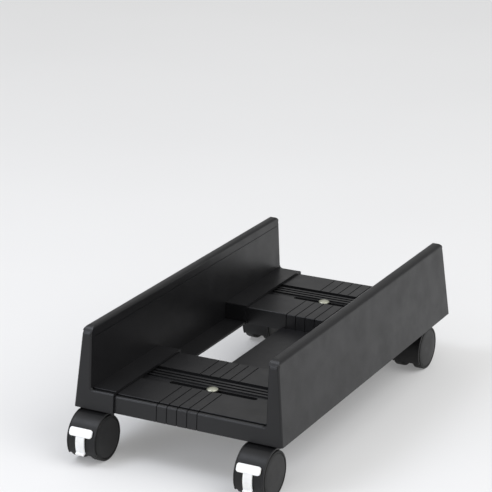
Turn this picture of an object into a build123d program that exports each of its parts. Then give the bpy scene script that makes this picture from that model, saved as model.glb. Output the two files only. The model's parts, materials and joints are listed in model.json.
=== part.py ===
from build123d import *
import os
from math import cos, radians, sin

# A rolling stand for an upright computer case, made of two moulded halves that
# telescope to the width of the case, on four twin-wheel casters.
# Millimetres. +X is to the right, +Y to the back and +Z up. The origin is on the
# floor, under the middle of the whole stand's outline.

# Driving dimensions of the two moulded halves
stand_width = 246.0        # over the bottom edges of the side walls
stand_length = 451.0       # front edge to rear edge of the left half
wall_height = 90.5         # from the frame's bottom edge to the top of a wall
frame_lift = 54.0          # from the floor to the frame's bottom edge
wall_inner_x = 103.0       # inner faces of both side walls
side_lean = 0.10           # how far the outer faces lean in, per millimetre of height
end_lean = 0.08            # the same for the front and rear faces
skin = 2.5                 # wall thickness of the mouldings
slip_gap = 0.3             # between the left half's skin and the right half's under it
sleeve_step = skin + slip_gap
wall_corner_r = 12.0       # side view, top front and top rear of a wall
wall_outer_ridge_r = 6.4   # rounding along the top of a wall, outside
wall_inner_ridge_r = 4.0   # and inside

# Platforms, measured on the right half from the front edge and the bottom edge
platform_height = 20.0
platform_depth = 144.0
lip_width = 3.8
lip_height = 18.8
lip_front_r = 2.4          # rounding along the lip's front
lip_groove_depth = 1.6     # the narrow groove behind the lip, below the lip's top
floor_start = 10.0         # where the flat floor begins, behind that groove
edge_r = 1.2               # rounding of the platform's edge towards the middle
groove_edge_r = 0.5
seam_x = -75.0             # where the left half's platforms end
tongue_end_x = -105.0      # how far the right half's platforms run on inside the left half
left_flange_x = -76.0      # inner edges of the two low flanges between the platforms
right_flange_x = -30.0
flange_thickness = 2.5
groove_spacing = 12.0
groove_count = 5
groove_width = 1.2
groove_depth = 0.8
opening_corner_r = 3.5     # where a lip meets a wall
wall_rib_count = 6
platform_rib_ys = (40.0, 112.0, 128.0)

# Channels that the clamp bolts slide in
channel_starts = {"front": 59.0, "rear": 359.0}
channel_width = 39.0
channel_depth = 3.0
channel_end_x = -77.0
slot_offset = 10.5         # from the channel's front edge to the slot's middle
slot_width = 6.6
slot_ends_x = (-45.0, 60.0)
ridge_offsets = (19.2, 26.0, 32.8)
ridge_width = 3.2
ridge_height = 1.5

# Cross arms of the left half and what holds them
bolt_x = {"front": 6.5, "rear": -5.5}
arm_width = 24.0
arm_thickness = 5.0
arm_ends_x = (-119.0, 60.0)
arm_gap = 0.3              # under the channel
arm_screw_x = -111.5
arm_screw_spacing = 14.0
bolt_r = 3.0
bolt_head_r = 6.6
bolt_head_height = 3.4
fit_gap = 0.05             # radial running clearance

# Casters
stem_x = 99.0
stem_inset = 26.0          # from the front edge, and from the rear edge
wheel_r = 25.0
wheel_trail = 25.0         # every wheel axle lies this far in front of its stem
wheel_inner_x = 6.5
wheel_outer_x = 17.4
wheel_edge_r = 1.4
hood_inner_r = 26.2
hood_outer_r = 27.6
hood_half_width = 16.9
hood_start = -28.0         # the hood's ends, as angles round the axle from the front upwards
hood_end = 116.0
web_half_width = 6.0
axle_r = 3.0
stem_r = 4.0
socket_depth = 12.5
sleeve_r = 6.0
stem_boss_r = 7.5

# Brake pedals of the front casters, as angles round the wheel's centre
pedal_inner_r = 28.2
pedal_outer_r = 30.4
brake_pin_r = 1.2
pedal_bar_half_width = 13.5
pedal_stalk_half_width = 5.7
pedal_toe_r = 32.8
pedal_pivot_r = 24.3
pedal_pivot_angle = 31.5
pedal_top_angle = 35.0
pedal_bar_angle = 17.0
pedal_bottom_angle = -18.0

# Worked out from the dimensions above
half_width = stand_width / 2
pedal_reach = pedal_toe_r * cos(radians(pedal_bottom_angle + 1)) + wheel_trail - stem_inset
front_y = (pedal_reach - stand_length) / 2
channel_floor = platform_height - channel_depth
arm_top = channel_floor - skin - arm_gap
arm_bottom = arm_top - arm_thickness


def block(x0, x1, y0, y1, z0, z1):
    """A box between two opposite corners."""
    return Pos((x0 + x1) / 2, (y0 + y1) / 2, (z0 + z1) / 2) * Box(abs(x1 - x0), y1 - y0, z1 - z0)


def rod(radius, z0, z1, x=0, y=0):
    """An upright cylinder."""
    return Pos(x, y, (z0 + z1) / 2) * Cylinder(radius, z1 - z0)


def cross_rod(radius, x0, x1, y=0, z=0):
    """A cylinder along X."""
    return Pos((x0 + x1) / 2, y, z) * Rot(0, 90, 0) * Cylinder(radius, abs(x1 - x0))


def ring_sector(r_in, r_out, start_deg, end_deg, half_width):
    """Part of a tube round the X axis. Angles count from -Y (forwards) upwards."""
    def point(radius, degrees):
        return (-radius * cos(radians(degrees)), radius * sin(radians(degrees)))

    middle = (start_deg + end_deg) / 2
    outer = ThreePointArc(point(r_out, start_deg), point(r_out, middle), point(r_out, end_deg))
    inner = ThreePointArc(point(r_in, end_deg), point(r_in, middle), point(r_in, start_deg))
    sides = [Line(outer @ 1, inner @ 0), Line(inner @ 1, outer @ 0)]
    face = Plane.YZ * make_face(Wire([outer, sides[0], inner, sides[1]]))
    return Pos(-half_width, 0, 0) * extrude(face, 2 * half_width, dir=(1, 0, 0))


def wall_block(inset, step):
    """The right wall as a solid, pulled in by inset on every side but the bottom.

    step shortens it at both ends: the right half is that much shorter than the left.
    """
    top = wall_height - inset
    y_low = step + inset
    y_top = y_low + end_lean * top
    side = [(y_low, 0), (y_top, top), (stand_length - y_top, top), (stand_length - y_low, 0)]
    side = make_face(Polyline(*side, close=True))
    side = fillet(side.vertices().group_by(Axis.Y)[-1], wall_corner_r - inset)
    x_in = wall_inner_x + inset
    x_low = half_width - inset
    front = [(x_in, 0), (x_low, 0), (x_low - side_lean * top, top), (x_in, top)]
    front = make_face(Polyline(*front, close=True))
    inner_corner, outer_corner = front.vertices().group_by(Axis.Y)[-1].sort_by(Axis.X)
    front = fillet(outer_corner, wall_outer_ridge_r - inset * 0.8)
    inner_corner = front.vertices().group_by(Axis.Y)[-1].sort_by(Axis.X)[0]
    front = fillet(inner_corner, max(wall_inner_ridge_r - inset, 0.5))
    wall = extrude(Plane.YZ * side, stand_width, dir=(1, 0, 0))
    return wall & extrude(Plane.XZ * front, stand_length, dir=(0, 1, 0))


def to_rear(shape):
    """The same shape at the rear end of the stand."""
    return mirror(shape, about=Plane((0, stand_length / 2, 0), z_dir=(0, 1, 0)))


def platform_points(grow, with_groove):
    """Side outline (y, z) of the front platform, grown outwards by grow."""
    top = platform_height + grow
    lip = lip_height + grow
    front = sleeve_step - grow
    floor_y = floor_start - grow
    rear = platform_depth + grow
    points = [(front, 0), (front + end_lean * lip, lip)]
    if with_groove:
        lip_back = front + end_lean * lip + lip_width
        bottom = lip - lip_groove_depth
        points += [(lip_back, lip), (lip_back, bottom), (floor_y, bottom)]
    else:
        points += [(floor_y, lip)]
    return points + [(floor_y, top), (rear, top), (rear + 1, 0)]


def round_platform(face, grow):
    """Round the upper edges of a platform's side outline."""
    def upper_corners():
        corners = face.vertices().filter_by_position(Axis.Y, lip_height + grow - 0.1, 99)
        return corners.sort_by(Axis.X)

    face = fillet(upper_corners()[1:3], groove_edge_r)
    face = fillet(upper_corners()[0], lip_front_r)
    return fillet(upper_corners()[-1], edge_r)


def platform_prism(x0, x1, grow, end, finished=False):
    """A platform's outline drawn out along X, at the front or the rear end.

    finished adds the groove behind the lip and rounds the edges.
    """
    face = make_face(Polyline(*platform_points(grow, finished), close=True))
    if finished:
        face = round_platform(face, grow)
    prism = extrude(Plane.YZ * face, abs(x1 - x0), dir=(1, 0, 0))
    prism = Pos(min(x0, x1), 0, 0) * prism
    return to_rear(prism) if end == "rear" else prism


def opening_corner(side, step, end):
    """The small fillet between a lip's top and the side wall."""
    r = opening_corner_r
    top = lip_height + step + r
    bottom = lip_height + step - lip_front_r
    front = sleeve_step - step
    back = front + end_lean * (lip_height + step) + lip_width
    points = [(front + end_lean * bottom, bottom), (front + end_lean * top, top)]
    points += [(back, top), (back, bottom)]
    fill = extrude(Plane.YZ * make_face(Polyline(*points, close=True)), r, dir=(1, 0, 0))
    fill -= Pos(0, back, top) * Rot(90, 0, 0) * Cylinder(r, 6 * lip_width)
    fill = Pos(wall_inner_x - r, 0, 0) * fill
    if side < 0:
        fill = mirror(fill, about=Plane.YZ)
    return to_rear(fill) if end == "rear" else fill


def wall_ribs(step):
    """Upright ribs that tie the right wall's two skins together inside its hollow."""
    core = wall_block(skin / 2, step)
    slabs = Part()
    for i in range(wall_rib_count):
        y = stand_length * (i + 1) / (wall_rib_count + 1)
        slabs += block(wall_inner_x, half_width, y - 1, y + 1, platform_height + 6, wall_height)
    return slabs & core


def platform_ribs(end):
    """Cross ribs under the right half's floors, clear of the cross arm."""
    ribs = Part()
    for y in platform_rib_ys:
        if end == "rear":
            y = stand_length - y
        ribs += block(seam_x + 25, wall_inner_x, y - 1, y + 1, 8, platform_height - 1)
    return ribs


def caster_boss(x, y, top):
    """A boss that holds a caster's socket, under a platform."""
    return rod(stem_boss_r, 0, top, x, y)


def stem_ys():
    """Places of the front and rear caster stems along the stand."""
    return {"front": stem_inset, "rear": stand_length - stem_inset}


def slot_y(end):
    """Middle line of a channel's slot."""
    return channel_starts[end] + slot_offset


def inner_line(side):
    """A fine groove along a wall's inner face, near its top."""
    x = side * wall_inner_x
    return block(x - 0.5, x + 0.5, 14, stand_length - 14, wall_height - 12.5, wall_height - 11.7)


def channel_pan(end):
    """The skin under a channel."""
    y0 = channel_starts[end]
    y1 = y0 + channel_width
    z0 = channel_floor - skin
    return block(channel_end_x - skin, wall_inner_x + 1, y0 - skin, y1 + skin, z0, platform_height)


def channel_cut(end):
    """What is taken out of a platform for a channel: its recess and its slot."""
    y0 = channel_starts[end]
    recess = block(channel_end_x, wall_inner_x, y0, y0 + channel_width, channel_floor, 30)
    middle = (slot_ends_x[0] + slot_ends_x[1]) / 2
    length = slot_ends_x[1] - slot_ends_x[0]
    slot = extrude(SlotOverall(length, slot_width), 20)
    return recess + Pos(middle, slot_y(end), 5) * slot


def channel_ridges(end):
    """The ribs along a channel's floor."""
    ridges = Part()
    for offset in ridge_offsets:
        y = channel_starts[end] + offset
        y0 = y - ridge_width / 2
        y1 = y + ridge_width / 2
        top = channel_floor + ridge_height
        ridges += block(channel_end_x, wall_inner_x, y0, y1, channel_floor, top)
    return ridges


def arm_guides(end):
    """Two ribs under a channel that keep a cross arm square."""
    guides = Part()
    for side in (-1, 1):
        y = slot_y(end) + side * (arm_width / 2 + 0.5 + skin / 2)
        guides += block(-60, 80, y - skin / 2, y + skin / 2, arm_bottom - 2, channel_floor - 1)
    return guides


def floor_grooves(end):
    """Shallow grooves that run over the lip, the floor and the riser."""
    grooves = Part()
    for i in range(groove_count):
        x = (i - (groove_count - 1) / 2) * groove_spacing
        x0 = x - groove_width / 2
        x1 = x + groove_width / 2
        outside = platform_prism(x0, x1, 1.0, end)
        inside = platform_prism(x0 - 1, x1 + 1, -groove_depth, end)
        grooves += outside - inside
    return grooves


def boss_notch(end):
    """The cut in the right half's tongue that passes the left half's caster boss."""
    y = stem_ys()[end]
    r = stem_boss_r + 1
    x_round = -stem_x + 12.0
    slot = block(tongue_end_x - 1, x_round, y - r, y + r, 1, 30)
    return slot + rod(r, 1, 30, x_round, y)


def right_side_frame():
    """The right half: its wall, both platforms and the low flange between them."""
    frame = wall_block(0, sleeve_step)
    cavity = wall_block(skin, sleeve_step)
    rear_edge = stand_length - platform_depth
    inner = wall_inner_x + 1
    for end in ("front", "rear"):
        outer = platform_prism(tongue_end_x, inner, 0, end, finished=True)
        hollow = platform_prism(tongue_end_x - 1, wall_inner_x, -skin, end)
        frame += outer - hollow
        frame += opening_corner(1, 0, end) + channel_pan(end) + arm_guides(end)
        frame += caster_boss(stem_x, stem_ys()[end], platform_height - 1) + platform_ribs(end)
    frame += block(right_flange_x, inner, platform_depth, rear_edge, 0, flange_thickness)
    frame -= cavity
    frame += wall_ribs(sleeve_step)
    for end in ("front", "rear"):
        frame -= channel_cut(end) + boss_notch(end) + floor_grooves(end)
        frame += channel_ridges(end)
        frame -= rod(sleeve_r, -1, socket_depth, stem_x, stem_ys()[end])
    return frame - inner_line(1)


def arm_seat(end):
    """The shelf and screw bosses inside the left wall that a cross arm is screwed to."""
    y = slot_y(end)
    x_out = -(half_width - side_lean * arm_bottom - skin / 2)
    seat = block(x_out, -wall_inner_x, y - 17, y + 17, arm_bottom - skin, arm_bottom)
    for side in (-1, 1):
        seat += rod(4, 0, arm_bottom, arm_screw_x, y + side * arm_screw_spacing / 2)
        seat += block(x_out, arm_screw_x, y + side * 16 - 1, y + side * 16 + 1, 0, arm_bottom)
    return seat


def left_side_frame():
    """The left half: its wall, and platforms that sleeve over the right half's."""
    frame = mirror(wall_block(0, 0), about=Plane.YZ)
    cavity = mirror(wall_block(skin, 0), about=Plane.YZ)
    rear_edge = stand_length - platform_depth
    inner = -wall_inner_x - 1
    tongue_room_x = -(half_width - side_lean * platform_height - skin)
    for end in ("front", "rear"):
        frame += platform_prism(inner, seam_x, sleeve_step, end, finished=True)
        frame += opening_corner(-1, sleeve_step, end)
    frame += block(inner, left_flange_x, platform_depth, rear_edge, 0, flange_thickness)
    frame -= cavity
    frame += mirror(wall_ribs(0), about=Plane.YZ)
    for end in ("front", "rear"):
        frame -= platform_prism(tongue_room_x, seam_x + 1, slip_gap, end)
        frame += arm_seat(end)
        y = stem_ys()[end]
        frame += caster_boss(-stem_x, y, platform_height + sleeve_step - 1)
        frame -= rod(sleeve_r, -1, socket_depth, -stem_x, y)
        for side in (-1, 1):
            screw_y = slot_y(end) + side * arm_screw_spacing / 2
            frame -= rod(1.6, -1, arm_bottom + 1, arm_screw_x, screw_y)
    return frame - inner_line(-1)


def cross_arm(end):
    """A flat bar of the left half that slides under a channel."""
    y = slot_y(end)
    x0, x1 = arm_ends_x
    arm = block(x0, x1, y - arm_width / 2, y + arm_width / 2, arm_bottom, arm_top)
    arm = fillet(arm.edges().filter_by(Axis.Z), 3)
    arm -= rod(bolt_r + fit_gap, 0, 20, bolt_x[end], y)
    for side in (-1, 1):
        arm -= rod(2.0, 0, 20, arm_screw_x, y + side * arm_screw_spacing / 2)
    return arm


def arm_screw(x, y):
    """A pan-head screw, driven down into a boss."""
    head = rod(3.2, arm_top, arm_top + 1.8, x, y)
    head = fillet(head.edges().group_by(Axis.Z)[-1], 1.0)
    cross = block(x - 2, x + 2, y - 0.4, y + 0.4, arm_top + 0.9, arm_top + 3)
    cross += block(x - 0.4, x + 0.4, y - 2, y + 2, arm_top + 0.9, arm_top + 3)
    return head + rod(1.55, 1, arm_top, x, y) - cross


def carriage_bolt(end):
    """A smooth domed bolt; its square neck keeps it from turning in the slot."""
    x = bolt_x[end]
    y = slot_y(end)
    z0 = channel_floor + 0.1
    head = rod(bolt_head_r, z0, z0 + bolt_head_height, x, y)
    head = fillet(head.edges().group_by(Axis.Z)[-1], 1.8)
    neck = block(x - bolt_r, x + bolt_r, y - bolt_r, y + bolt_r, arm_top + 0.4, z0)
    return head + neck + rod(bolt_r, -4, arm_top + 0.4, x, y)


def washer(end):
    """A flat washer under a cross arm."""
    x = bolt_x[end]
    y = slot_y(end)
    return rod(7, arm_bottom - 1, arm_bottom, x, y) - rod(bolt_r + fit_gap, 0, 20, x, y)


def wing_nut(end):
    """A hand nut with two wings, under the washer."""
    x = bolt_x[end]
    y = slot_y(end)
    top = arm_bottom - 1 - 0.1
    hub = rod(5.5, top - 6, top, x, y)
    hub = chamfer(hub.edges().group_by(Axis.Z)[0], 0.8)
    wings = block(x - 14, x + 14, y - 1.3, y + 1.3, top - 9, top - 1.5)
    wings = fillet(wings.edges().filter_by(Axis.Y), 2.8)
    wings -= rod(4.5, top - 20, top - 6, x, y)
    return hub + wings - rod(bolt_r + fit_gap, top - 20, 20, x, y)


def socket_sleeve():
    """A flanged steel sleeve, pressed into a boss. z = 0 is the frame's bottom edge."""
    sleeve = rod(sleeve_r, 0, socket_depth, 0, 0) + rod(stem_boss_r, -1, 0)
    bore = rod(stem_r + fit_gap, -2, socket_depth + 1)
    ring_room = rod(stem_r + 0.9, 8.3, 10.7)
    return sleeve - bore - ring_room


def caster_stem():
    """A plain pin with a groove for the grip ring. z = 0 is the frame's bottom edge."""
    stem = rod(stem_r, -16, socket_depth - 0.5)
    stem = chamfer(stem.edges().group_by(Axis.Z)[-1], 0.8)
    groove = rod(stem_r + 1, 8.9, 10.1) - rod(stem_r - 0.7, 8.9, 10.1)
    return stem - groove


def grip_ring():
    """A split spring ring that keeps the stem in its sleeve."""
    ring = rod(stem_r + 0.6, 9.0, 10.0) - rod(stem_r - 0.6, 8.0, 11.0)
    return ring - block(0, 6, -0.9, 0.9, 8, 11)


def caster_web():
    """The middle plate of a caster body, from the wheel axle back to the stem."""
    back = [(0, hood_inner_r), (31.5, hood_inner_r), (31.5, 12), (20, -6), (0, -19)]
    plate = extrude(Plane.YZ * make_face(Polyline(*back, close=True)), 2 * web_half_width, dir=(1, 0, 0))
    plate = Pos(-web_half_width, 0, 0) * plate
    plate = fillet(plate.edges().filter_by(Axis.X).group_by(Axis.Y)[-1], 5)
    under_hood = ring_sector(20, hood_inner_r + 0.5, hood_start, hood_end, web_half_width)
    return plate + cross_rod(21, -web_half_width, web_half_width) + under_hood


def caster_hood(with_brake):
    """The caster's body: a drum-shaped hood over both wheels, a web and a stem boss.

    The origin is the wheel axle; the stem is wheel_trail behind it.
    """
    drum = ring_sector(hood_inner_r, hood_outer_r, hood_start, hood_end, hood_half_width)
    top = frame_lift - 2 - wheel_r
    boss = rod(8, 19, top, 0, wheel_trail)
    roof = block(-8, 8, 0, wheel_trail, hood_inner_r, top + 0.3)
    hood = drum + caster_web() + boss + roof
    hood -= block(-40, 40, -60, 60, top, 60)
    hood -= rod(stem_r, 8, 60, 0, wheel_trail)
    hood -= cross_rod(axle_r, -20, 20)
    if with_brake:
        hood -= brake_slot()
        hood -= cross_rod(brake_pin_r, -web_half_width, web_half_width, *pivot_place())
    return hood


def pivot_place():
    """The brake pivot's (y, z), measured from the wheel axle."""
    angle = radians(pedal_pivot_angle)
    return (-pedal_pivot_r * cos(angle), pedal_pivot_r * sin(angle))


def brake_slot():
    """Room in the web and the hood for a pedal's lever."""
    y, z = pivot_place()
    slot = ring_sector(pedal_pivot_r - 3, 40, pedal_pivot_angle - 8, pedal_pivot_angle + 5, 3.4)
    return slot + cross_rod(3.3, -3.4, 3.4, y, z)


def brake_pedal():
    """A T-shaped pedal that lies against the hood, on a lever that reaches its pivot."""
    bar = ring_sector(pedal_inner_r, pedal_outer_r, pedal_bar_angle, pedal_top_angle, pedal_bar_half_width)
    bar = fillet(bar.edges().filter_by(is_bar_corner), 2.8)
    stalk = ring_sector(
        pedal_inner_r, pedal_outer_r, pedal_bottom_angle, pedal_bar_angle + 2, pedal_stalk_half_width
    )
    toe_angles = (pedal_bottom_angle - 4, pedal_bottom_angle + 1)
    toe = ring_sector(pedal_inner_r, pedal_toe_r, *toe_angles, pedal_stalk_half_width)
    y, z = pivot_place()
    lever_angles = (pedal_pivot_angle - 5, pedal_pivot_angle + 1.5)
    lever = ring_sector(pedal_pivot_r, pedal_inner_r + 0.5, *lever_angles, 3.0)
    eye = cross_rod(2.5, -3, 3, y, z)
    return bar + stalk + toe + lever + eye - cross_rod(brake_pin_r + fit_gap, -5, 5, y, z)


def is_bar_corner(edge):
    """True for the four short edges across the thickness of the pedal's bar."""
    thickness = pedal_outer_r - pedal_inner_r
    return abs(edge.length - thickness) < 0.1


def caster_wheel():
    """The wheel on the +X side of a caster; the origin is the axle."""
    wheel = cross_rod(wheel_r, wheel_inner_x, wheel_outer_x)
    wheel = fillet(wheel.edges(), wheel_edge_r)
    wheel -= cross_rod(21.5, wheel_inner_x - 1, wheel_inner_x + 5.5)
    wheel += cross_rod(6, wheel_inner_x, wheel_outer_x - 3)
    wheel -= cross_rod(22.2, wheel_outer_x - 1.6, wheel_outer_x + 1)
    return wheel - cross_rod(axle_r + fit_gap, 0, wheel_outer_x - 2.4)


def wheel_cap():
    """The smooth disc that closes the outer face of a wheel."""
    cap = cross_rod(22.0, wheel_outer_x - 1.6, wheel_outer_x + 0.1)
    return fillet(cap.edges().group_by(Axis.X)[-1], 0.8)


def axle():
    """The steel pin that carries both wheels."""
    return cross_rod(axle_r, -wheel_outer_x + 2.8, wheel_outer_x - 2.8)


def brake_pin():
    """The pin that a pedal swings on."""
    return cross_rod(brake_pin_r, -web_half_width, web_half_width, *pivot_place())


def caster_parts(with_brake):
    """Every piece of one caster, in the caster's own frame: the axle is the origin."""
    stem_place = Pos(0, wheel_trail, frame_lift - wheel_r)
    wheel = caster_wheel()
    cap = wheel_cap()
    parts = {
        "socket_sleeve": stem_place * socket_sleeve(),
        "stem": stem_place * caster_stem(),
        "grip_ring": stem_place * grip_ring(),
        "hood": caster_hood(with_brake),
        "axle": axle(),
        "right_wheel": wheel,
        "left_wheel": mirror(wheel, about=Plane.YZ),
        "right_wheel_cap": cap,
        "left_wheel_cap": mirror(cap, about=Plane.YZ),
    }
    if with_brake:
        parts["brake_pedal"] = brake_pedal()
        parts["brake_pin"] = brake_pin()
    return parts


def frame_parts():
    """The two halves and everything that joins them, standing on the frame's bottom edge."""
    ends = ("front", "rear")
    screws = []
    for end in ends:
        for side in (-1, 1):
            screws.append(arm_screw(arm_screw_x, slot_y(end) + side * arm_screw_spacing / 2))
    return {
        "right_side_frame": right_side_frame(),
        "left_side_frame": left_side_frame(),
        "front_cross_arm": cross_arm("front"),
        "rear_cross_arm": cross_arm("rear"),
        "arm_screws": Compound(children=screws),
        "carriage_bolts": Compound(children=[carriage_bolt(end) for end in ends]),
        "bolt_washers": Compound(children=[washer(end) for end in ends]),
        "front_wing_nut": wing_nut("front"),
        "rear_wing_nut": wing_nut("rear"),
    }


def main():
    os.makedirs("parts", exist_ok=True)
    on_stand = Pos(0, front_y, frame_lift)
    for name, shape in frame_parts().items():
        export_step(on_stand * shape, f"parts/{name}.step")
    for end, y in stem_ys().items():
        for side_name, side in (("left", -1), ("right", 1)):
            place = Pos(side * stem_x, front_y + y - wheel_trail, wheel_r)
            for name, shape in caster_parts(end == "front").items():
                export_step(place * shape, f"parts/{end}_{side_name}_{name}.step")


main()
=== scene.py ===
import json
import math

import bmesh
import bpy
from mathutils import Matrix, Vector

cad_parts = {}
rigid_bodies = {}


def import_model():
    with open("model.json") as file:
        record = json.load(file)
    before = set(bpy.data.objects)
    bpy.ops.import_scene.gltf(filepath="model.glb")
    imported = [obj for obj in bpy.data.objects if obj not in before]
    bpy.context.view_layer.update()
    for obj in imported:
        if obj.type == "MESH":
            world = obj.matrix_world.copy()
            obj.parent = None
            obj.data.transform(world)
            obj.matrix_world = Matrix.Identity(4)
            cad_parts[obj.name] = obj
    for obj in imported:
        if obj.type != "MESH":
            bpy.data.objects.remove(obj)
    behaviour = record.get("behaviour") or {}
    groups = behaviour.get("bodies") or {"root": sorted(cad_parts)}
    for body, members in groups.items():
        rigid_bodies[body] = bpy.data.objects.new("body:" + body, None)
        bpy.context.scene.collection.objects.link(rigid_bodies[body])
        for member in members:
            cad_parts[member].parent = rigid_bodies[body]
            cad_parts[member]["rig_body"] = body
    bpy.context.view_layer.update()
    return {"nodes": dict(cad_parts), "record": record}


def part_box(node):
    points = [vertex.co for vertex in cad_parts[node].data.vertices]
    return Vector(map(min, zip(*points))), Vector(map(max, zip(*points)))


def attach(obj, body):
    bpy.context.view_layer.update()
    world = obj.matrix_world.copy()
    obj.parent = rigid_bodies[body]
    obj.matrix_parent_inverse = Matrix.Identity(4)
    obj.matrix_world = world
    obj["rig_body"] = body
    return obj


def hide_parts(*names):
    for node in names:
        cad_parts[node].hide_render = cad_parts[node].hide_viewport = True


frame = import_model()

# Looks for a rolling computer stand. Metres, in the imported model's frame: +X right,
# +Y back, +Z up, floor at z = 0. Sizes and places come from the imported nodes.

mm = 0.001

# Camera: where it looks, from which side, and how far away
camera_target = Vector((-0.0342, 0.0142, 0.1803))
camera_azimuth = 27.54
camera_elevation = 18.39
camera_distance = 2.2592
camera_lens = 148.18

# Studio
sky_low = 0.31             # brightness of the room near the horizon and overhead
sky_high = 0.9
floor_glow = 0.18
white = (1.0, 1.0, 1.0)
cool_white = (0.86, 0.9, 1.0)
# Each soft light: its direction from the stand, its distance, size, power and colour
studio_lights = {
    "key": ((1.0, -0.1, 1.1), 3.0, 2.2, 32, white),
    "front_glint": ((-0.44, -0.82, 0.36), 2.6, 1.1, 14, cool_white),
    "top_glint": ((-0.44, -0.32, 0.84), 2.6, 0.9, 14, cool_white),
    "side_glint": ((0.93, -0.3, 0.2), 2.6, 0.8, 6, white),
}

# Edge roundings, by the kind of piece
frame_edge = 0.45 * mm
wall_end_edge = 2.4 * mm   # upright edges at the ends of the side walls
wall_end_depth = 10.5 * mm  # how far those edges lean in from a half's front or rear
opening_x = 99.0 * mm      # from here outwards a half's end is wall, not lip
ridge_depth = 6.4 * mm     # the rounded ridge along a wall's top
arm_edge = 0.3 * mm
steel_edge = 0.2 * mm
hood_edge = 0.5 * mm
nut_edge = 0.6 * mm

# Clamp bolts
bolt_radius = 3.0 * mm
bolt_head_radius = 6.6 * mm
bolt_head_height = 3.4 * mm
neck_height = 5.0 * mm
thread_pitch = 1.0 * mm

# Casters
corners = ("front_left", "front_right", "rear_left", "rear_right")
wheel_turns = 128          # steps round a turned piece
hood_angles = (-28.0, 116.0)
bead_height = 0.45 * mm    # the hood's rims, over its drum
bead_width = 1.5 * mm

# Brake pedals, as angles round the axle: the foot, under the bar, over the bar
pedal_angles = (-22.0, 17.0, 35.0)
pedal_radius = 28.2 * mm   # inner face
pedal_thickness = 2.2 * mm
stalk_half = 5.2 * mm
toe_length = 2.4 * mm
toe_height = 4.6 * mm
lever_half = 3.0 * mm

nodes = frame["nodes"]
slot_of = {part["node"]: part["material_slot"] for part in frame["record"]["subparts"]}


# ---------------------------------------------------------------- materials

def add_node(tree, kind, inputs=None, **settings):
    """A new shader node with its settings and its unlinked input values."""
    made = tree.nodes.new(kind)
    for name, value in settings.items():
        setattr(made, name, value)
    for name, value in (inputs or {}).items():
        made.inputs[name].default_value = value
    return made


def noise(tree, scale, detail=3.0, stretch=(1, 1, 1)):
    """Noise in the object's own coordinates; scale is in waves per metre."""
    place = add_node(tree, "ShaderNodeTexCoord")
    size = add_node(tree, "ShaderNodeMapping", {"Scale": stretch})
    texture = add_node(tree, "ShaderNodeTexNoise", {"Scale": scale, "Detail": detail})
    tree.links.new(place.outputs["Object"], size.inputs["Vector"])
    tree.links.new(size.outputs["Vector"], texture.inputs["Vector"])
    return texture.outputs["Fac"]


def spread(tree, value, low, high):
    """A 0..1 value spread out between low and high."""
    ramp = add_node(tree, "ShaderNodeMapRange", {
        "From Min": 0.3, "From Max": 0.7, "To Min": low, "To Max": high,
    })
    tree.links.new(value, ramp.inputs["Value"])
    return ramp.outputs["Result"]


def blend_colors(tree, factor, first, second):
    """A colour between first and second. Each is a plain colour or another node's output."""
    mix = add_node(tree, "ShaderNodeMix", data_type="RGBA")
    tree.links.new(factor, mix.inputs["Factor"])
    for socket, color in ((mix.inputs[6], first), (mix.inputs[7], second)):
        if isinstance(color, tuple):
            socket.default_value = (*color, 1.0)
        else:
            tree.links.new(color, socket)
    return mix.outputs[2]


def edge_mask(tree, radius, strength):
    """About 1 along sharp edges and 0 on the faces."""
    rounded = add_node(tree, "ShaderNodeBevel", {"Radius": radius}, samples=4)
    flat = add_node(tree, "ShaderNodeNewGeometry")
    dot = add_node(tree, "ShaderNodeVectorMath", operation="DOT_PRODUCT")
    tree.links.new(rounded.outputs["Normal"], dot.inputs[0])
    tree.links.new(flat.outputs["Normal"], dot.inputs[1])
    away = add_node(tree, "ShaderNodeMath", {0: 1.0}, operation="SUBTRACT")
    tree.links.new(dot.outputs["Value"], away.inputs[1])
    gain = add_node(tree, "ShaderNodeMath", {1: strength}, operation="MULTIPLY", use_clamp=True)
    tree.links.new(away.outputs[0], gain.inputs[0])
    return gain.outputs[0]


def bump(tree, shader, heights):
    """Stacks bumps on a shader; heights is a list of (height output, depth in metres)."""
    last = None
    for height, depth in heights:
        node = add_node(tree, "ShaderNodeBump", {"Strength": 1.0, "Distance": depth})
        tree.links.new(height, node.inputs["Height"])
        if last:
            tree.links.new(last.outputs["Normal"], node.inputs["Normal"])
        last = node
    tree.links.new(last.outputs["Normal"], shader.inputs["Normal"])


def new_material(name):
    """An empty node material with its tree and its shader."""
    material = bpy.data.materials.new(name)
    material.use_nodes = True
    tree = material.node_tree
    return material, tree, tree.nodes["Principled BSDF"]


def moulded_plastic(name, color, edge_wear_and_shade_color, roughness, grain, specular):
    """Moulded plastic: a fine eroded grain, faint flow clouds, and another tone along the edges: painted
    shade on the frame, whose edges are darkened to read dark, and lighter rubbed wear on the caster
    parts.

    grain is (waves per metre, depth in metres).
    """
    material, tree, shader = new_material(name)
    shader.inputs["Specular IOR Level"].default_value = specular
    clouds = noise(tree, 14, 4)
    darker = tuple(channel * 0.8 for channel in color)
    body = blend_colors(tree, spread(tree, clouds, 0.0, 1.0), darker, color)
    edges = edge_mask(tree, 0.9 * mm, 2.2)
    # The edge tone: painted shade where the edge colour is darker than the body (the frame), lighter
    # rubbed wear where it is lighter (the casters).
    rims = add_node(tree, "ShaderNodeMath", operation="MULTIPLY")
    tree.links.new(edges, rims.inputs[0])
    tree.links.new(spread(tree, noise(tree, 90, 6), 0.15, 1.0), rims.inputs[1])
    tree.links.new(blend_colors(tree, rims.outputs[0], body, edge_wear_and_shade_color), shader.inputs["Base Color"])
    patches = spread(tree, noise(tree, 45, 5), roughness - 0.05, roughness + 0.06)
    tree.links.new(patches, shader.inputs["Roughness"])
    fine = noise(tree, grain[0], 2)
    broad = noise(tree, 30, 2)
    bump(tree, shader, [(broad, 0.06 * mm), (fine, grain[1])])
    return material


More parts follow.
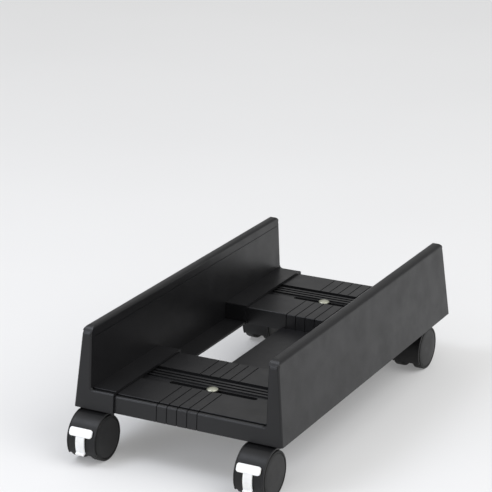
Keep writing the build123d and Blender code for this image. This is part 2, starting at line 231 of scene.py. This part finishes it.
def plated_steel(name, color, roughness, tint):
    """Zinc-plated steel: brushed along one way, with a faint passivated tint in clouds."""
    material, tree, shader = new_material(name)
    shader.inputs["Metallic"].default_value = 1.0
    clouds = spread(tree, noise(tree, 160, 3), 0.0, 1.0)
    tree.links.new(blend_colors(tree, clouds, color, tint), shader.inputs["Base Color"])
    streaks = noise(tree, 900, 4, stretch=(0.08, 1.0, 1.0))
    tree.links.new(spread(tree, streaks, roughness - 0.08, roughness + 0.1), shader.inputs["Roughness"])
    bump(tree, shader, [(streaks, 0.006 * mm)])
    return material


def powder_coat(name, color, roughness):
    """Black powder coat on a steel bar: an orange-peel surface."""
    material, tree, shader = new_material(name)
    shader.inputs["Specular IOR Level"].default_value = 0.5
    darker = tuple(channel * 0.7 for channel in color)
    body = blend_colors(tree, spread(tree, noise(tree, 60, 3), 0.0, 1.0), darker, color)
    tree.links.new(body, shader.inputs["Base Color"])
    patches = spread(tree, noise(tree, 200, 2), roughness - 0.05, roughness + 0.05)
    tree.links.new(patches, shader.inputs["Roughness"])
    bump(tree, shader, [(noise(tree, 700, 1), 0.05 * mm)])
    return material


def glossy_white(name):
    """Bright white pedal plastic: faintly translucent, with soft flow marks."""
    material, tree, shader = new_material(name)
    shader.inputs["Subsurface Weight"].default_value = 0.08
    shader.inputs["Subsurface Radius"].default_value = (0.002, 0.0015, 0.001)
    shader.inputs["Subsurface Scale"].default_value = 0.4
    clouds = spread(tree, noise(tree, 120, 3), 0.0, 1.0)
    body = blend_colors(tree, clouds, (0.86, 0.865, 0.86), (0.93, 0.93, 0.92))
    tree.links.new(body, shader.inputs["Base Color"])
    tree.links.new(spread(tree, noise(tree, 260, 4), 0.25, 0.36), shader.inputs["Roughness"])
    bump(tree, shader, [(noise(tree, 900, 2), 0.008 * mm)])
    return material


def floor_paint():
    """A pale, even studio floor, lit a little from below so that shadows on it stay light."""
    material, tree, shader = new_material("studio_floor")
    shader.inputs["Emission Color"].default_value = (1.0, 1.0, 1.0, 1.0)
    shader.inputs["Emission Strength"].default_value = floor_glow
    shader.inputs["Specular IOR Level"].default_value = 0.1
    clouds = spread(tree, noise(tree, 1.5, 2), 0.0, 1.0)
    paint = blend_colors(tree, clouds, (0.63, 0.63, 0.63), (0.65, 0.65, 0.65))
    tree.links.new(paint, shader.inputs["Base Color"])
    tree.links.new(spread(tree, noise(tree, 8, 2), 0.75, 0.85), shader.inputs["Roughness"])
    return material


materials = {
    # The frame's edge colour is darker than its body: painted shade that makes its edges read dark.
    "frame_plastic": moulded_plastic(
        "frame_plastic", (0.0092, 0.0092, 0.0101), (0.004, 0.004, 0.0045), 0.36, (2600, 0.025 * mm), 0.36
    ),
    "caster_plastic": moulded_plastic(
        "caster_plastic", (0.0065, 0.0065, 0.007), (0.03, 0.03, 0.033), 0.42, (1800, 0.02 * mm), 0.34
    ),
    "wheel_plastic": moulded_plastic(
        "wheel_plastic", (0.007, 0.007, 0.007), (0.03, 0.03, 0.03), 0.5, (1400, 0.03 * mm), 0.3
    ),
    "cap_plastic": moulded_plastic(
        "cap_plastic", (0.009, 0.009, 0.0095), (0.034, 0.034, 0.036), 0.44, (3200, 0.02 * mm), 0.34
    ),
    "pedal_plastic": glossy_white("pedal_plastic"),
    "arm_steel": powder_coat("arm_steel", (0.02, 0.02, 0.021), 0.38),
    "bolt_steel": plated_steel("bolt_steel", (0.5, 0.5, 0.43), 0.4, (0.42, 0.43, 0.34)),
    "fastener_steel": plated_steel("fastener_steel", (0.62, 0.62, 0.6), 0.34, (0.5, 0.52, 0.52)),
    "pin_steel": plated_steel("pin_steel", (0.56, 0.56, 0.56), 0.3, (0.48, 0.48, 0.48)),
}


# ------------------------------------------------------------- mesh helpers

def new_object(name, bm):
    """Writes a bmesh into a new object, smooth all over."""
    bmesh.ops.recalc_face_normals(bm, faces=bm.faces)
    mesh = bpy.data.meshes.new(name)
    bm.to_mesh(mesh)
    bm.free()
    for polygon in mesh.polygons:
        polygon.use_smooth = True
    piece = bpy.data.objects.new(name, mesh)
    bpy.context.scene.collection.objects.link(piece)
    return piece


def shade_flats(piece):
    """Shades a piece's flat faces flat and its roundings smooth."""
    normals = piece.modifiers.new("normals", "WEIGHTED_NORMAL")
    normals.keep_sharp = True


def round_edges(piece, width, segments=3, angle=32):
    """Rounds a piece's sharp edges."""
    bevel = piece.modifiers.new("edges", "BEVEL")
    bevel.width = width
    bevel.segments = segments
    bevel.limit_method = "ANGLE"
    bevel.angle_limit = math.radians(angle)
    bevel.use_clamp_overlap = True
    shade_flats(piece)


def node_centre(name):
    """The middle of a CAD node's box."""
    low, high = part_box(name)
    return (low + high) / 2


def stand_for(piece, node):
    """The piece is shown instead of a CAD node, and takes its body and its material."""
    slot = slot_of[node]
    piece.data.materials.clear()
    piece.data.materials.append(materials[slot])
    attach(piece, nodes[node]["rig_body"])
    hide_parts(node)
    return piece


def is_wall_end_edge(edge, low, high):
    """True for the convex upright edges at the ends of a side wall, down into the lip's corner."""
    if len(edge.link_faces) != 2 or not edge.is_convex or edge.calc_face_angle() < math.radians(40):
        return False
    middle = (edge.verts[0].co + edge.verts[1].co) / 2
    outward = 1 if abs(high.x) > abs(low.x) else -1
    on_wall = middle.x * outward > opening_x and middle.z < high.z - ridge_depth
    at_end = min(middle.y - low.y, high.y - middle.y) < wall_end_depth
    faces_end = max(abs(face.normal.y) for face in edge.link_faces) > 0.3
    faces_down = min(face.normal.z for face in edge.link_faces) < -0.5
    return on_wall and at_end and faces_end and not faces_down


def round_wall_ends(bm, node):
    """Gives the ends of a half's side wall their wide rounding."""
    low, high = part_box(node)
    ends = [edge for edge in bm.edges if is_wall_end_edge(edge, low, high)]
    bmesh.ops.bevel(
        bm, geom=ends, offset=wall_end_edge, segments=4, profile=0.5, affect="EDGES", clamp_overlap=False
    )


def edged_copy(node, width, segments=3, refine=None):
    """A CAD node's own shape in whole, convex faces instead of triangles, with its edges rounded.

    refine is a function that reshapes the copy before its edges are rounded.
    """
    source = nodes[node].data
    bm = bmesh.new()
    points = [bm.verts.new(vertex.co) for vertex in source.vertices]
    for polygon in source.polygons:
        corner_points = [points[i] for i in polygon.vertices]
        if len(set(corner_points)) == len(corner_points):
            bm.faces.new(corner_points)
    bmesh.ops.remove_doubles(bm, verts=bm.verts, dist=0.002 * mm)
    bmesh.ops.dissolve_limit(bm, angle_limit=math.radians(0.5), verts=bm.verts, edges=bm.edges)
    if refine:
        refine(bm, node)
    bmesh.ops.connect_verts_concave(bm, faces=bm.faces)
    piece = new_object(node + "_shell", bm)
    round_edges(piece, width, segments)
    return stand_for(piece, node)


def rounded_outline(points, steps=5):
    """A closed outline of (a, b, corner radius) points, with the corners turned into arcs."""
    outline = []
    count = len(points)
    for i, (a, b, radius) in enumerate(points):
        corner = Vector((a, b))
        if radius == 0:
            outline.append(corner)
            continue
        before = (Vector(points[i - 1][:2]) - corner).normalized()
        after = (Vector(points[(i + 1) % count][:2]) - corner).normalized()
        half = before.angle(after) / 2
        reach = radius / math.tan(half)
        centre = corner + (before + after).normalized() * (radius / math.sin(half))
        start = corner + before * reach - centre
        sweep = (corner + after * reach - centre).angle_signed(start)
        for step in range(steps + 1):
            outline.append(centre + Matrix.Rotation(sweep * step / steps, 2) @ start)
    return outline


def turned(outline, start=0.0, end=360.0, steps=wheel_turns):
    """A bmesh of an (x, r) outline turned round the X axis, whole or between two angles.

    Angles count from -Y (forwards) upwards.
    """
    bm = bmesh.new()
    whole = abs(end - start) >= 360
    rings = []
    for step in range(steps if whole else steps + 1):
        angle = math.radians(start + (end - start) * step / steps)
        along = Vector((0, -math.cos(angle), math.sin(angle)))
        rings.append([bm.verts.new(Vector((x, 0, 0)) + along * r) for x, r in outline])
    count = len(outline)
    for i in range(steps):
        ring, following = rings[i], rings[(i + 1) % len(rings)]
        for k in range(count):
            bm.faces.new((ring[k], ring[(k + 1) % count], following[(k + 1) % count], following[k]))
    if not whole:
        bm.faces.new(rings[0])
        bm.faces.new(reversed(rings[-1]))
    bmesh.ops.remove_doubles(bm, verts=bm.verts, dist=0.001 * mm)
    return bm


def plate(outline, low, high):
    """A bmesh of a closed (x, y) outline raised from z = low to z = high."""
    bm = bmesh.new()
    face = bm.faces.new([bm.verts.new((x, y, low)) for x, y in outline])
    raised = bmesh.ops.extrude_face_region(bm, geom=[face])["geom"]
    top = [item for item in raised if isinstance(item, bmesh.types.BMVert)]
    bmesh.ops.translate(bm, vec=(0, 0, high - low), verts=top)
    return bm


def soften(bm, width, segments=3):
    """Rounds every edge that turns by more than 40 degrees."""
    sharp = [edge for edge in bm.edges if edge.calc_face_angle(0) > math.radians(40)]
    bmesh.ops.bevel(bm, geom=sharp, offset=width, segments=segments, profile=0.5, affect="EDGES")


def join(bm, other):
    """Adds another bmesh's faces to a bmesh."""
    mesh = bpy.data.meshes.new("joining")
    other.to_mesh(mesh)
    other.free()
    bm.from_mesh(mesh)
    bpy.data.meshes.remove(mesh)
    return bm


def bend_round_axle(bm, radius, pitch):
    """Wraps a flat bmesh round the X axis: y is length along the arc, z is height over it."""
    ys = [vertex.co.y for vertex in bm.verts]
    for i in range(math.ceil(min(ys) / pitch), math.floor(max(ys) / pitch) + 1):
        everything = bm.verts[:] + bm.edges[:] + bm.faces[:]
        bmesh.ops.bisect_plane(bm, geom=everything, plane_co=(0, i * pitch, 0), plane_no=(0, 1, 0))
    for vertex in bm.verts:
        angle = vertex.co.y / radius
        reach = radius + vertex.co.z
        vertex.co = (vertex.co.x, -reach * math.cos(angle), reach * math.sin(angle))
    return bm


def place(bm, location, flip=False):
    """Moves a bmesh made at a caster's axle to its place, mirrored in X if asked."""
    if flip:
        bmesh.ops.scale(bm, vec=(-1, 1, 1), verts=bm.verts)
        bmesh.ops.reverse_faces(bm, faces=bm.faces)
    bmesh.ops.translate(bm, vec=location, verts=bm.verts)
    return bm


# ------------------------------------------------------------------ casters

def wheel_outline(inner, outer, radius):
    """(x, r) outline of a wheel: a solid tread ring, a web, a hub and the cap's recess."""
    web = outer - 1.6 * mm
    return rounded_outline([
        (inner, radius - 3.5 * mm, 0.4 * mm),
        (inner, radius, 1.2 * mm),
        (outer, radius, 1.2 * mm),
        (outer, radius - 2.8 * mm, 0.25 * mm),
        (web, radius - 2.8 * mm, 0),
        (web, 0, 0),
        (web - 0.8 * mm, 0, 0),
        (web - 0.8 * mm, 3.05 * mm, 0),
        (inner, 3.05 * mm, 0.3 * mm),
        (inner, 6.0 * mm, 0.5 * mm),
        (inner + 5.5 * mm, 6.0 * mm, 0.6 * mm),
        (inner + 5.5 * mm, radius - 3.5 * mm, 0.8 * mm),
    ])


def cap_outline(inner, outer, radius):
    """(x, r) outline of a wheel's side disc: slightly crowned, with a rolled edge."""
    crown = 0.5 * mm
    return rounded_outline([
        (inner, 0, 0),
        (inner, radius, 0.2 * mm),
        (outer - crown * 0.6, radius, 0.7 * mm),
        (outer - crown * 0.35, radius * 0.82, 4 * mm),
        (outer, radius * 0.4, 6 * mm),
        (outer, 0, 0),
    ])


def make_wheel(corner, side):
    """One wheel and its cap. The outline is made for the right side and mirrored for the left."""
    wheel_node = f"{corner}_{side}_wheel"
    cap_node = f"{wheel_node}_cap"
    axle = node_centre(f"{corner}_axle")
    low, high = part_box(wheel_node)
    near, far = sorted((abs(low.x - axle.x), abs(high.x - axle.x)))
    radius = (high.z - low.z) / 2
    flip = side == "left"
    bm = place(turned(wheel_outline(near, far, radius)), axle, flip)
    stand_for(new_object(wheel_node + "_tyre", bm), wheel_node)
    low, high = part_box(cap_node)
    near, far = sorted((abs(low.x - axle.x), abs(high.x - axle.x)))
    bm = place(turned(cap_outline(near, far, (high.z - low.z) / 2)), axle, flip)
    stand_for(new_object(cap_node + "_disc", bm), cap_node)


def make_pedal(corner):
    """The T-shaped pedal: a thicker cross bar, a stalk with a toe, and the lever to its pin."""
    axle = node_centre(f"{corner}_axle")
    pin = node_centre(f"{corner}_brake_pin")
    low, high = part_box(f"{corner}_brake_pedal")
    half = (high.x - low.x) / 2
    top = math.radians(pedal_angles[2]) * pedal_radius
    waist = math.radians(pedal_angles[1]) * pedal_radius
    foot = math.radians(pedal_angles[0]) * pedal_radius
    bar = plate(rounded_outline([
        (-half, waist, 2.8 * mm),
        (half, waist, 2.8 * mm),
        (half, top, 2.6 * mm),
        (-half, top, 2.6 * mm),
    ]), 0, pedal_thickness + 0.5 * mm)
    stalk = plate(rounded_outline([
        (-stalk_half, foot, 1.0 * mm),
        (stalk_half, foot, 1.0 * mm),
        (stalk_half, waist + 3 * mm, 0),
        (-stalk_half, waist + 3 * mm, 0),
    ]), 0, pedal_thickness)
    toe = plate(rounded_outline([
        (-stalk_half, foot, 0.8 * mm),
        (stalk_half, foot, 0.8 * mm),
        (stalk_half, foot + toe_length, 0.8 * mm),
        (-stalk_half, foot + toe_length, 0.8 * mm),
    ]), 0.4 * mm, toe_height)
    for part in (bar, stalk, toe):
        soften(part, 0.55 * mm)
    bm = bend_round_axle(join(join(bar, stalk), toe), pedal_radius, 1.5 * mm)
    pivot = pin - axle
    pivot_radius = math.hypot(pivot.y, pivot.z)
    pivot_angle = math.degrees(math.atan2(pivot.z, -pivot.y))
    lever = rounded_outline([
        (-lever_half, pivot_radius, 0),
        (lever_half, pivot_radius, 0),
        (lever_half, pedal_radius + 0.4 * mm, 0),
        (-lever_half, pedal_radius + 0.4 * mm, 0),
    ])
    join(bm, turned(lever, pivot_angle - 5, pivot_angle + 1.5, 6))
    eye = turned(rounded_outline([
        (-lever_half, 1.25 * mm, 0.2 * mm),
        (-lever_half, 2.5 * mm, 0.3 * mm),
        (lever_half, 2.5 * mm, 0.3 * mm),
        (lever_half, 1.25 * mm, 0.2 * mm),
    ], 3), steps=32)
    join(bm, place(eye, pivot))
    pedal = new_object(f"{corner}_brake_pedal_moulding", place(bm, axle))
    shade_flats(pedal)
    stand_for(pedal, f"{corner}_brake_pedal")


def make_hood_rims(corner):
    """The raised bead along each side of the hood's drum."""
    axle = node_centre(f"{corner}_axle")
    low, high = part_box(f"{corner}_hood")
    half = (high.x - low.x) / 2
    drum = axle.y - low.y
    top = drum + bead_height
    outline = rounded_outline([
        (half - bead_width, drum - 0.8 * mm, 0),
        (half - bead_width, top, 0.4 * mm),
        (half + 0.05 * mm, top, 0.4 * mm),
        (half + 0.05 * mm, drum - 1.4 * mm, 0.3 * mm),
        (half - bead_width, drum - 1.4 * mm, 0),
    ])
    for side, flip in (("left", True), ("right", False)):
        bm = place(turned(outline, hood_angles[0] - 0.3, hood_angles[1] + 0.3, 48), axle, flip)
        rim = new_object(f"{corner}_hood_{side}_rim", bm)
        rim.data.materials.append(materials["caster_plastic"])
        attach(rim, f"{corner}_caster")


def make_caster(corner):
    """Every visible piece of one caster."""
    edged_copy(f"{corner}_hood", hood_edge)
    make_hood_rims(corner)
    for side in ("left", "right"):
        make_wheel(corner, side)
    for name in ("socket_sleeve", "stem", "axle", "grip_ring"):
        edged_copy(f"{corner}_{name}", steel_edge, 2)
    if corner.startswith("front"):
        make_pedal(corner)
        edged_copy(f"{corner}_brake_pin", steel_edge, 2)


# ------------------------------------------------------------ frame and bolts

def bolt_outline(underside, tip):
    """(height, r) outline of a bolt: a domed head, a shank and the ridges of its thread."""
    outline = rounded_outline([
        (underside + bolt_head_height, 0, 0),
        (underside + bolt_head_height * 0.93, bolt_head_radius * 0.45, 5 * mm),
        (underside + bolt_head_height * 0.5, bolt_head_radius, 1.6 * mm),
        (underside, bolt_head_radius, 0.3 * mm),
        (underside, bolt_radius, 0.2 * mm),
    ])
    outline.append(Vector((underside - 8 * mm, bolt_radius)))
    turns = int((underside - 8 * mm - tip) / thread_pitch)
    for i in range(turns):
        crest = underside - 8 * mm - (i + 1) * thread_pitch
        outline.append(Vector((crest + thread_pitch * 0.5, bolt_radius - 0.45 * mm)))
        outline.append(Vector((crest, bolt_radius)))
    outline.append(Vector((tip, bolt_radius - 0.6 * mm)))
    outline.append(Vector((tip, 0)))
    return outline


def make_bolt(end):
    """A domed carriage bolt with a square neck, over its wing nut."""
    low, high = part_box("carriage_bolts")
    nut = node_centre(f"{end}_wing_nut")
    underside = high.z - bolt_head_height
    bm = turned(bolt_outline(underside, low.z), steps=64)
    bmesh.ops.rotate(bm, verts=bm.verts, matrix=Matrix.Rotation(-math.pi / 2, 3, "Y"))
    neck_half = bolt_radius
    neck = plate(rounded_outline([
        (-neck_half, -neck_half, 0.3 * mm),
        (neck_half, -neck_half, 0.3 * mm),
        (neck_half, neck_half, 0.3 * mm),
        (-neck_half, neck_half, 0.3 * mm),
    ]), underside - neck_height, underside + 0.3 * mm)
    place(join(bm, neck), Vector((nut.x, nut.y, 0)))
    bolt = new_object(f"{end}_domed_bolt", bm)
    shade_flats(bolt)
    stand_for(bolt, "carriage_bolts")


def make_frame():
    """The two moulded halves, the cross arms and the clamp hardware."""
    for node in ("right_side_frame", "left_side_frame"):
        edged_copy(node, frame_edge, refine=round_wall_ends)
    for end in ("front", "rear"):
        edged_copy(f"{end}_cross_arm", arm_edge, 2)
        edged_copy(f"{end}_wing_nut", nut_edge)
    edged_copy("arm_screws", steel_edge, 2)
    for end in ("front", "rear"):
        make_bolt(end)
    edged_copy("bolt_washers", steel_edge, 2)


# --------------------------------------------------------------------- studio

def make_floor():
    """A pale floor that reaches past every view."""
    bm = bmesh.new()
    bmesh.ops.create_grid(bm, x_segments=8, y_segments=8, size=30)
    floor = new_object("studio_floor", bm)
    floor.data.materials.append(floor_paint())


def make_area_light(name, direction, distance, size, power, color):
    """A square soft light that faces the stand from a direction."""
    data = bpy.data.lights.new(name, "AREA")
    data.shape = "SQUARE"
    data.size = size
    data.energy = power
    data.color = color
    light = bpy.data.objects.new(name, data)
    bpy.context.scene.collection.objects.link(light)
    away = Vector(direction).normalized()
    light.location = away * distance
    light.rotation_mode = "QUATERNION"
    light.rotation_quaternion = away.to_track_quat("Z", "Y")


def make_lights():
    """A room that is brighter overhead, and the soft lights."""
    world = bpy.data.worlds.new("studio")
    world.use_nodes = True
    tree = world.node_tree
    direction = add_node(tree, "ShaderNodeTexCoord")
    parts = add_node(tree, "ShaderNodeSeparateXYZ")
    tree.links.new(direction.outputs["Generated"], parts.inputs["Vector"])
    height = add_node(tree, "ShaderNodeMapRange", {
        "From Min": 0.1, "From Max": 0.9, "To Min": sky_low, "To Max": sky_high,
    })
    tree.links.new(parts.outputs["Z"], height.inputs["Value"])
    tree.links.new(height.outputs["Result"], tree.nodes["Background"].inputs["Strength"])
    tree.nodes["Background"].inputs["Color"].default_value = (1.0, 1.0, 1.0, 1.0)
    bpy.context.scene.world = world
    for name, settings in studio_lights.items():
        make_area_light(name, *settings)


def make_camera():
    """The camera, from its target, its angles and its distance."""
    azimuth = math.radians(camera_azimuth)
    elevation = math.radians(camera_elevation)
    back = Vector((
        math.sin(azimuth) * math.cos(elevation),
        -math.cos(azimuth) * math.cos(elevation),
        math.sin(elevation),
    ))
    data = bpy.data.cameras.new("camera")
    data.lens = camera_lens
    data.clip_start = 0.05
    data.clip_end = 100
    camera = bpy.data.objects.new("camera", data)
    bpy.context.scene.collection.objects.link(camera)
    camera.location = camera_target + back * camera_distance
    camera.rotation_mode = "QUATERNION"
    camera.rotation_quaternion = back.to_track_quat("Z", "Y")
    bpy.context.scene.camera = camera


for node, slot in slot_of.items():
    nodes[node].data.materials.clear()
    nodes[node].data.materials.append(materials[slot])
make_frame()
for corner in corners:
    make_caster(corner)
make_floor()
make_lights()
make_camera()
bpy.context.scene.view_settings.view_transform = "Standard"
